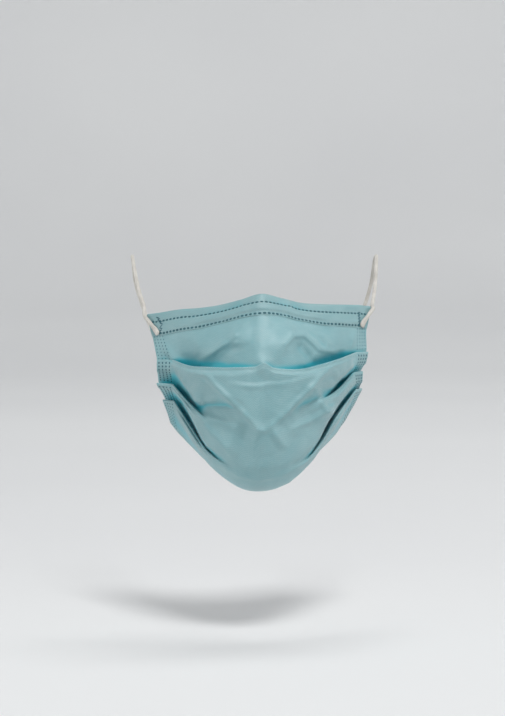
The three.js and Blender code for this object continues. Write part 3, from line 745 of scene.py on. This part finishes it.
def hem_grid(sheet):
    """The hem, from its edge inside the mask, over the sheet's top edge and down the front."""
    inside = [(below, -HEM["ahead"]) for below in HEM_INSIDE]
    fold = [(HEM_FOLD * (1 - math.cos(turn)), HEM["ahead"] * math.sin(turn)) for turn in HEM_TURNS]
    grid = []
    for i, share in enumerate(sheet.shares):
        points = sheet.grid[i, :ROWS["upper"]]
        lengths = lengths_along(points)
        up = unit(points[0] - points[1])
        section = inside + fold + [(below, hem_ahead(below, share)) for below in HEM_OUTSIDE]
        run = []
        for below, ahead in section:
            down = below - HEM_FOLD
            point = sheet.at(i, np.interp(down, lengths, np.arange(len(lengths))), ahead)[0]
            run.append(point + up * max(-down, 0))
        grid.append(run)
    grid = np.array(grid)
    push = creases_at(grid, HEM_CREASES.values()) + creases_at(grid, crumples(**HEM_CRUMPLES))
    held = len(inside) + len(fold) // 2
    ease = smooth(np.clip((np.arange(grid.shape[1]) - held) / HEM_EASE, 0, 1))
    return grid + grid_normals(grid) * (push * ease)[..., None]


def hem_row(below):
    """Row of the hem's grid at a distance below its fold, on the outside."""
    return len(HEM_INSIDE) + len(HEM_TURNS) + np.interp(below, HEM_OUTSIDE, np.arange(len(HEM_OUTSIDE)))


def make_dashes(hem, material):
    """Two rows of short pressed welds along the hem, as one mesh."""
    vertices, faces = [], []
    draw = np.random.default_rng(DASH["seed"])
    for row in DASH_ROWS:
        j = hem_row(row["below"])
        i = np.linspace(0, len(hem.shares) - JUST_INSIDE, DASH["samples"])
        lengths = lengths_along(np.array([hem.at(k, j)[0] for k in i]))
        share = np.interp(i, np.arange(len(hem.shares)), hem.shares)
        start, end = (np.interp(row[k], share, lengths) for k in ("start", "end"))
        for middle in np.arange(start, end, DASH["pitch"]):
            length = DASH["length"] * (1 + draw.uniform(-DASH["jitter"], DASH["jitter"]))
            stops = middle + np.linspace(-0.5, 0.5, PAD["steps"]) * length
            places = [(np.interp(stop, lengths, i), j) for stop in stops]
            add_pad(vertices, faces, hem, places, DASH["width"], HEM_THICKNESS / 2 + DASH["ahead"])
    return new_object("hem_welds", vertices, faces, [material])


# The zigzags at the corners: how many welds each has, and how far one leans across the band and up.
MARKS = dict(count=9, lean=0.11, rise=0.45, width=0.8, ahead=0.06)
MARK_PATHS = {  # how far across the band, and millimetres below the hem's fold
    -1: ((0.15, 3.5), (-0.05, 8), (0.2, 14)),
    1: ((0.0, 5.5), (0.1, 9.5), (0.2, 13.5))}


def make_weld_marks(hem, material):
    """A zigzag of short pressed welds beside each upper end of the elastic, as one mesh."""
    vertices, faces = [], []
    for sign in (-1, 1):
        for k in range(MARKS["count"]):
            along = k / (MARKS["count"] - 1)
            part, below = (np.interp(along, (0, 0.5, 1), row) for row in zip(*MARK_PATHS[sign]))
            lean = MARKS["lean"] if k % 2 else -MARKS["lean"]
            places = [(hem.band_column(sign, part + lean * step), hem_row(below + MARKS["rise"] * step))
                      for step in np.linspace(-1, 1, PAD["steps"])]
            add_pad(vertices, faces, hem, places, MARKS["width"], HEM_THICKNESS / 2 + MARKS["ahead"])
    return new_object("corner_welds", vertices, faces, [material])


# ---- dots of the side bands

# Pitch down the band, how far a dot stands out, and the first, the last and the number of the columns.
DOTS = dict(down=2.1, ahead=0.09, columns=(0.15, 0.85, 4))
# On each panel: the size of a dot, and how far the dots start from its top and end from its foot.
DOT_PANELS = dict(
    upper=dict(size=0.75, top=14.5, foot=6.5), front=dict(size=1.1, top=1.2, foot=6.2),
    cheek=dict(size=1.1, top=1.2, foot=6), chin=dict(size=0.8, top=1.2, foot=1.5))


def panel_spans():
    """First and last grid row of each panel."""
    spans, start = {}, 0
    for name in DOT_PANELS:
        spans[name] = (start, start + ROWS[name])
        start += ROWS[name] + 1 + 2 * (ROWS["bend"] - 1) + ROWS["hidden"] + 1
    return spans


def make_dots(sheet, material):
    """The small welds that hold the layers together in both side bands, as one mesh."""
    vertices, faces = [], []
    for sign in (-1, 1):
        columns = [sheet.band_column(sign, part) for part in np.linspace(*DOTS["columns"])]
        for name, span in panel_spans().items():
            panel = DOT_PANELS[name]
            lengths, rows = sheet.down_column(columns[len(columns) // 2], span)
            for stop in np.arange(panel["top"], lengths[-1] - panel["foot"], DOTS["down"]):
                j = np.interp(stop, lengths, rows)
                half = np.interp(stop + panel["size"] / 2, lengths, rows) - j
                for i in columns:
                    places = [(i, j - half), (i, j), (i, j + half)]
                    ahead = SHEET_THICKNESS / 2 + DOTS["ahead"]
                    add_pad(vertices, faces, sheet, places, panel["size"], ahead)
    return new_object("band_welds", vertices, faces, [material])


# ---- ear loops

# From the upper weld round the ear to the lower one: out from the middle of the head, back and up.
LOOP_ROUTE = (
    dict(out=72.2, y=61, z=-9.9), dict(out=74.7, y=74, z=-3), dict(out=77, y=88.5, z=5.8),
    dict(out=78.7, y=102, z=14.4), dict(out=79.6, y=111, z=19.8), dict(out=79.1, y=118.5, z=15.5),
    dict(out=77.4, y=123.5, z=1), dict(out=71.6, y=118.5, z=-17), dict(out=65.4, y=106, z=-33),
    dict(out=60.8, y=86, z=-50), dict(out=59, y=66, z=-64))
WELDS = dict(
    # how far across the band, and millimetres below the top edge, on the front
    upper=((0.36, 13.5), (0.58, 8.5), (0.82, 4), (1.05, 0.4)), over=1.1,
    # how far across, and share of the way down the last panel, on its back
    lower=((0.9, 0.6), (0.45, 0.62), (0, 0.64)), under=0.6)
CORD_STEPS = 420
CORD_SIDES = 32
RIBS = dict(count=8, pitch=1.6, depth=0.02)  # round the cord, along it, and as a share of its radius
# The stretch pressed quite flat at an end, as long again as it fades, how much it is sunk, thinned and
# spread, and its round tip.
PRESSED = dict(length=4.2, sunk=0.55, thinner=0.5, wider=0.45, tip=0.8, least=0.02)


def cord_route(sheet, sign):
    """Even points along a cord from its upper weld to its lower one, and the band's direction at both."""
    spans = panel_spans()
    upper, lower = [], []
    for part, below in WELDS["upper"]:
        i = sheet.band_column(sign, min(part, 1))
        j = np.interp(below, *sheet.down_column(i, spans["upper"]))
        point, first = sheet.at(i, j, CORD / 2 + WELDS["over"])
        outer, inner = (sheet.at(i + sign * step, j)[0] for step in (0.5, -0.5))
        upper.append(point + unit(outer - inner) * max(part - 1, 0) * BAND_WIDTH)
    for part, down in WELDS["lower"]:
        start, end = spans["chin"]
        row = start + (end - start) * down
        point, last = sheet.at(sheet.band_column(sign, part), row, -CORD / 2 - WELDS["under"])
        lower.append(point)
    route = [np.array((HEAD_MIDDLE + sign * p["out"], p["y"], p["z"]), float) for p in LOOP_ROUTE]
    return curve_through(upper + route + lower, CORD_STEPS), first, -last


def make_cord(name, sheet, sign, material):
    """An elastic cord with knitted ribs, pressed flat at its two welds."""
    route, first, last = cord_route(sheet, sign)
    tangents = units(np.gradient(route, axis=0))
    lengths = lengths_along(route)
    total = lengths[-1]
    normal = unit(first - tangents[0] * np.dot(first, tangents[0]))
    vertices, cloth = [], []
    for length, point, tangent in zip(lengths, route, tangents):
        normal = unit(normal - tangent * np.dot(normal, tangent))
        side = np.cross(tangent, normal)
        from_end = min(length, total - length)
        weld = first if length < total / 2 else last
        weld = unit(weld - tangent * np.dot(weld, tangent))
        flat = smooth(clamp(2 - from_end / PRESSED["length"], 0, 1))
        middle = point - weld * flat * PRESSED["sunk"] * CORD / 2
        tip = math.sqrt(clamp(from_end / PRESSED["tip"], PRESSED["least"], 1))
        for m in range(CORD_SIDES):
            turn = 2 * math.pi * m / CORD_SIDES
            rib = math.cos(RIBS["count"] * turn) * math.cos(length * 2 * math.pi / RIBS["pitch"])
            arm = (normal * math.cos(turn) + side * math.sin(turn)) * CORD / 2 * (1 + RIBS["depth"] * rib)
            up = weld * np.dot(arm, weld)
            arm = (arm - up) * (1 + PRESSED["wider"] * flat) + up * (1 - PRESSED["thinner"] * flat)
            vertices.append(middle + arm * tip)
            cloth.append((m / CORD_SIDES, length, 0))
    made = new_object(name, vertices, tube_faces(0, len(route), CORD_SIDES), [material])
    add_point_attribute(made, "cloth", cloth)
    return made, route, total


# ---- materials

# Patterns are given by their repeats in a metre, along and across the cloth, and depths in metres. Only
# the stitch of the elastic is a length, in millimetres, and too fine to be made out.
CLOTH = dict(clouds=70, streaks=(160, 1100), fibres=(900, 4200), crossing=(3800, 1200), fluff=260,
             depth=0.00007, fluff_depth=0.0003)
BONDS = dict(repeats=900, turn=math.radians(38), stretch=1.25, jitter=0.12, edge=(0.2, 0.36))
FILM = dict(traces=2600, patches=240, depth=0.00005)
KNIT = dict(stitch=0.0011, lean=1.6, fuzz=5200, patches=130, depth=0.00012)
COAT = dict(lines=(60, 400, 2400), patches=180, depth=0.00003)
PAPER = dict(patches=1.4, tooth=900, depth=0.0001)
MIDDLE = (0.3, 0.7)  # the range in which most of a noise lies


class Graph:
    """Adds nodes to a new material. A socket given for an input is linked, and any other value is set."""

    def __init__(self, name):
        self.material = bpy.data.materials.new(name)
        self.material.use_nodes = True
        self.tree = self.material.node_tree
        self.shader = self.tree.nodes["Principled BSDF"]

    def give(self, socket, value):
        if isinstance(value, bpy.types.NodeSocket):
            self.tree.links.new(value, socket)
        else:
            socket.default_value = value

    def node(self, kind, inputs, output=0, **settings):
        made = self.tree.nodes.new("ShaderNode" + kind)
        for name, value in settings.items():
            setattr(made, name, value)
        for name, value in inputs.items():
            self.give(made.inputs[name], value)
        return made.outputs[output]

    def maths(self, operation, a, b=0.0):
        return self.node("Math", {0: a, 1: b}, operation=operation)

    def total(self, *parts):
        """Sum of sockets, each times its weight."""
        made, *rest = [self.maths("MULTIPLY", socket, weight) for socket, weight in parts]
        for part in rest:
            made = self.maths("ADD", made, part)
        return made

    def shade(self, **inputs):
        for name, value in inputs.items():
            self.give(self.shader.inputs[name.replace("_", " ")], value)
        return self.material

    def attribute(self, name):
        return self.node("Attribute", {}, output=1, attribute_name=name)

    def position(self):
        return self.node("NewGeometry", {})

    def scaled(self, place, x, y, z=1.0):
        return self.node("VectorMath", {0: place, 1: (x, y, z)}, operation="MULTIPLY")

    def noise(self, place, scale, detail=3, roughness=0.5):
        sockets = {"Vector": place, "Scale": scale, "Detail": detail, "Roughness": roughness}
        return self.node("TexNoise", sockets)

    def ranged(self, value, low, high, to_low=0.0, to_high=1.0):
        sockets = {"Value": value, "From Min": low, "From Max": high, "To Min": to_low, "To Max": to_high}
        return self.node("MapRange", sockets, clamp=True)

    def mixed(self, factor, a, b):
        """Colour from a to b, each of which is a socket or three numbers."""
        a, b = (colour if isinstance(colour, bpy.types.NodeSocket) else (*colour, 1) for colour in (a, b))
        return self.node("Mix", {0: factor, 6: a, 7: b}, output=2, data_type="RGBA")

    def bump(self, height, depth, strength, under=None):
        sockets = {"Height": height, "Distance": depth, "Strength": strength}
        if under is not None:
            sockets["Normal"] = under
        return self.node("Bump", sockets)


def nonwoven(name, thick, thin, bond, deep, sheen):
    """Spunbond non-woven: clouds of denser fibre, fine crossing fibres and small pressed diamonds. The
    colour
    deep is painted shade: mixed in where the sheet lies in a fold, it stands for the shade there, which
    light reaches only off more of the same cloth."""
    graph = Graph(name)
    place = graph.attribute("cloth")
    clouds = graph.noise(place, CLOTH["clouds"])
    streaks = graph.noise(graph.scaled(place, *CLOTH["streaks"]), 1, roughness=0.6)
    fibres = graph.noise(graph.scaled(place, *CLOTH["fibres"]), 1, detail=4, roughness=0.7)
    crossing = graph.noise(graph.scaled(place, *CLOTH["crossing"]), 1, roughness=0.65)
    weave = graph.maths("ADD", fibres, crossing)
    pressed = bond_points(graph, place)
    tone = graph.total((clouds, 0.6), (streaks, 0.4), (graph.maths("SUBTRACT", weave, 1.0), 0.35))
    colour = graph.mixed(graph.ranged(tone, *MIDDLE), thin, thick)
    colour = graph.mixed(graph.maths("MULTIPLY", pressed, 0.55), colour, bond)
    # Painted shade: the colour turns towards deep where the sheet lies in a fold.
    painted_shade = graph.node("SeparateXYZ", {0: graph.attribute("painted_shade")})
    colour = graph.mixed(graph.maths("MULTIPLY", painted_shade, 0.9), colour, deep)
    soft = graph.bump(graph.noise(place, CLOTH["fluff"]), CLOTH["fluff_depth"], 0.5)
    roughness = graph.ranged(graph.total((weave, 1), (pressed, -0.5)), 0.3, 1.4, 0.4, 0.62)
    normal = graph.bump(graph.total((weave, 0.45), (pressed, -0.9)), CLOTH["depth"], 0.8, soft)
    return graph.shade(
        Base_Color=colour, Roughness=roughness, Normal=normal,
        Sheen_Weight=sheen, Sheen_Roughness=0.3, Specular_IOR_Level=0.8, Subsurface_Weight=0.35,
        Subsurface_Radius=(0.6, 1, 1.05), Subsurface_Scale=0.002)


def bond_points(graph, place):
    """1 in the small diamonds where the fibres are pressed together, and 0 between them."""
    turned = graph.node("VectorRotate", {"Vector": place, "Angle": BONDS["turn"]}, rotation_type="Z_AXIS")
    sockets = {"Vector": graph.scaled(turned, BONDS["stretch"], 1), "Scale": BONDS["repeats"],
               "Randomness": BONDS["jitter"]}
    return graph.ranged(graph.node("TexVoronoi", sockets), *BONDS["edge"], 1, 0)


def pressed_plastic(name, colour, paler):
    """Cloth pressed into a clear film by a hot tool: darker and smoother, with traces of fibre."""
    graph = Graph(name)
    place = graph.position()
    traces = graph.noise(place, FILM["traces"], roughness=0.65)
    patches = graph.noise(place, FILM["patches"], detail=2)
    shade = graph.ranged(graph.maths("ADD", traces, patches), 0.75, 1.3)
    return graph.shade(
        Base_Color=graph.mixed(shade, colour, paler), Roughness=graph.ranged(traces, *MIDDLE, 0.38, 0.6),
        Normal=graph.bump(traces, FILM["depth"], 0.6), Specular_IOR_Level=0.25)


def knitted(name, yarn, grey_and_shade):
    """Knitted elastic: ribs round it, a fine tooth and fuzz. Its colour turns greyer in random patches and,
    as painted shade, in the gaps between the ribs.
    """
    graph = Graph(name)
    place = graph.attribute("cloth")
    around, along = (graph.node("SeparateXYZ", {0: place}, output=k) for k in (0, 1))
    ribs = graph.maths("SINE", graph.maths("MULTIPLY", around, RIBS["count"] * 2 * math.pi))
    lean = graph.maths("ABSOLUTE", ribs)
    stitch = graph.maths("SINE", graph.total((along, 2 * math.pi / KNIT["stitch"]), (lean, KNIT["lean"])))
    fuzz = graph.noise(graph.position(), KNIT["fuzz"], detail=4, roughness=0.7)
    patches = graph.noise(graph.position(), KNIT["patches"], detail=2)
    height = graph.total((ribs, 0.4), (stitch, 0.5), (fuzz, 0.6))
    # The tone follows random patches, and the rib height as painted shade in the gaps.
    tone = graph.total((height, 0.3), (patches, 1))
    return graph.shade(
        Base_Color=graph.mixed(graph.ranged(tone, 0.35, 0.95), grey_and_shade, yarn),
        Roughness=graph.ranged(fuzz, *MIDDLE, 0.7, 0.92), Normal=graph.bump(height, KNIT["depth"], 0.8),
        Sheen_Weight=0.25, Sheen_Roughness=0.5)


def coated_wire(name, colour, worn):
    """White plastic over a steel core, with fine lines along it from the extruder."""
    graph = Graph(name)
    place = graph.position()
    lines = graph.noise(graph.scaled(place, *COAT["lines"]), 1)
    patches = graph.noise(place, COAT["patches"], detail=2)
    return graph.shade(
        Base_Color=graph.mixed(graph.ranged(patches, 0.35, 0.7), colour, worn),
        Roughness=graph.ranged(lines, *MIDDLE, 0.35, 0.5), Normal=graph.bump(lines, COAT["depth"], 0.5))


def paper(name, colour, paler):
    """Matt backdrop paper with a faint tooth."""
    graph = Graph(name)
    place = graph.position()
    patches = graph.noise(place, PAPER["patches"], detail=2)
    tooth = graph.noise(place, PAPER["tooth"])
    return graph.shade(
        Base_Color=graph.mixed(graph.ranged(patches, *MIDDLE), colour, paler),
        Roughness=graph.ranged(tooth, *MIDDLE, 0.86, 0.96), Normal=graph.bump(tooth, PAPER["depth"], 0.3))


# The deep colours are painted shade for the folds, not colours that the cloth has.
blue = nonwoven("blue_nonwoven", thick=(0.278, 0.44, 0.46), thin=(0.2, 0.368, 0.395),
                bond=(0.11, 0.295, 0.33), deep=(0.012, 0.4, 0.475), sheen=0.4)
white = nonwoven("white_nonwoven", thick=(0.78, 0.79, 0.78), thin=(0.68, 0.71, 0.71),
                 bond=(0.62, 0.66, 0.67), deep=(0.5, 0.64, 0.68), sheen=0.2)
weld = pressed_plastic("pressed_weld", colour=(0.02, 0.09, 0.11), paler=(0.05, 0.16, 0.19))
dot = pressed_plastic("pressed_dot", colour=(0.02, 0.09, 0.12), paler=(0.04, 0.14, 0.18))
elastic = knitted("white_elastic", yarn=(0.82, 0.79, 0.73), grey_and_shade=(0.6, 0.57, 0.52))
wire = coated_wire("wire_coat", colour=(0.8, 0.8, 0.78), worn=(0.7, 0.71, 0.7))

# ---- camera and studio

CAMERA = dict(lens=116.15, sensor=36, place=(-68.55, -1395.15, 58.66), aim=(-5.2, 0, -39))
# Places and sizes of the studio are in metres, and power in watts.
STUDIO_PROFILE = (  # the bowl's radius and height
    (0, 0), (0.5, 0), (1.2, 0), (2.2, 0), (2.9, 0.06), (3.3, 0.25), (3.6, 0.7), (3.75, 1.6), (3.8, 3.2))
STUDIO_SIDES = 96
AIR = dict(colour=(0.9, 0.95, 1, 1), strength=0.2)
LIGHTS = dict(
    key=dict(place=(0.3, -1.35, 1.9), aim=(0, 0, -0.06), size=(0.55, 0.55), power=37.5),
    fill=dict(place=(-1.2, -1.9, 0.4), aim=(0, 0, -0.05), size=(1.5, 1.5), power=2),
    card_right=dict(place=(-1.7, -0.4, 0.05), aim=(0, 0.05, -0.06), size=(1, 0.5), power=6),
    card_left=dict(place=(1.7, -0.4, 0.05), aim=(0, 0.05, -0.06), size=(1, 0.5), power=5.5),
    back_wash=dict(place=(0.6, 0.6, 2.6), aim=(0, 3.4, 0.3), size=(2.4, 1.2), power=44))


def add_to_scene(name, data, place, aim):
    """A camera or lamp at a place, turned to look at another."""
    made = bpy.data.objects.new(name, data)
    bpy.context.scene.collection.objects.link(made)
    made.location = place
    made.rotation_euler = (Vector(aim) - Vector(place)).to_track_quat("-Z", "Y").to_euler()
    return made


def make_camera():
    """Long lens, a little to the wearer's right of straight ahead and a little above."""
    camera = bpy.data.cameras.new("camera")
    camera.lens = CAMERA["lens"]
    camera.sensor_width = CAMERA["sensor"]
    place, aim = (Vector(CAMERA[k]) * MM for k in ("place", "aim"))
    bpy.context.scene.camera = add_to_scene("camera", camera, place, aim)


def area_light(name, place, aim, size, power):
    lamp = bpy.data.lights.new(name, "AREA")
    lamp.shape = "RECTANGLE"
    lamp.size, lamp.size_y = size
    lamp.energy = power
    add_to_scene(name, lamp, place, aim)


def make_studio():
    """A pale seamless bowl round the mask, open at the top, and soft lights."""
    vertices = []
    for radius, height in STUDIO_PROFILE:
        for k in range(STUDIO_SIDES):
            angle = 2 * math.pi * k / STUDIO_SIDES
            x, y = radius * math.cos(angle), radius * math.sin(angle)
            vertices.append((x / MM, y / MM, height / MM + FLOOR))
    backdrop = paper("studio_paper", colour=(0.74, 0.745, 0.75), paler=(0.78, 0.785, 0.785))
    studio = new_object("studio", vertices, ring_quads(0, len(STUDIO_PROFILE), STUDIO_SIDES), [backdrop])
    world = bpy.data.worlds.new("studio_air")
    bpy.context.scene.world = world
    world.use_nodes = True
    air = world.node_tree.nodes["Background"].inputs
    air["Color"].default_value = AIR["colour"]
    air["Strength"].default_value = AIR["strength"]
    for name, light in LIGHTS.items():
        area_light(name, **light)
    bpy.context.scene.view_settings.view_transform = "Standard"


# ---- the mask

def add_piece(piece, slot, *nodes):
    """Gives a piece its body, and hides the nodes that it replaces. The slot is not used."""
    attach(piece, "root")
    if nodes:
        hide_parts(*nodes)
    return piece


def make_cloth():
    """The folded sheet with its hem and welds. It gives back the front of the sheet."""
    sheet = Surface(sheet_grid(), all_shares())
    panel = wall_about("pleated_sheet", sheet, SHEET_THICKNESS, [blue, white])
    add_piece(panel, "mask_fabric", "pleated_panel")
    hem = Surface(hem_grid(sheet), sheet.shares)
    strip = add_piece(wall_about("hem_strip", hem, HEM_THICKNESS, [blue, white]), "mask_fabric", "top_hem")
    dashes = add_piece(make_dashes(hem, weld), "mask_fabric")
    dots = add_piece(make_dots(sheet, dot), "mask_fabric")
    marks = add_piece(make_weld_marks(hem, dot), "mask_fabric")
    return sheet


def make_loops(sheet):
    """The two elastic cords."""
    for sign, side in ((1, "left"), (-1, "right")):
        cord, route, length = make_cord("elastic_" + side, sheet, sign, elastic)
        add_piece(cord, "elastic", "ear_loop_" + side)


def coat_wire():
    """Gives the CAD's own nose wire its material."""
    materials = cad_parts["nose_wire"].data.materials
    materials.clear()
    materials.append(wire)


make_camera()
make_studio()
make_loops(make_cloth())
coat_wire()
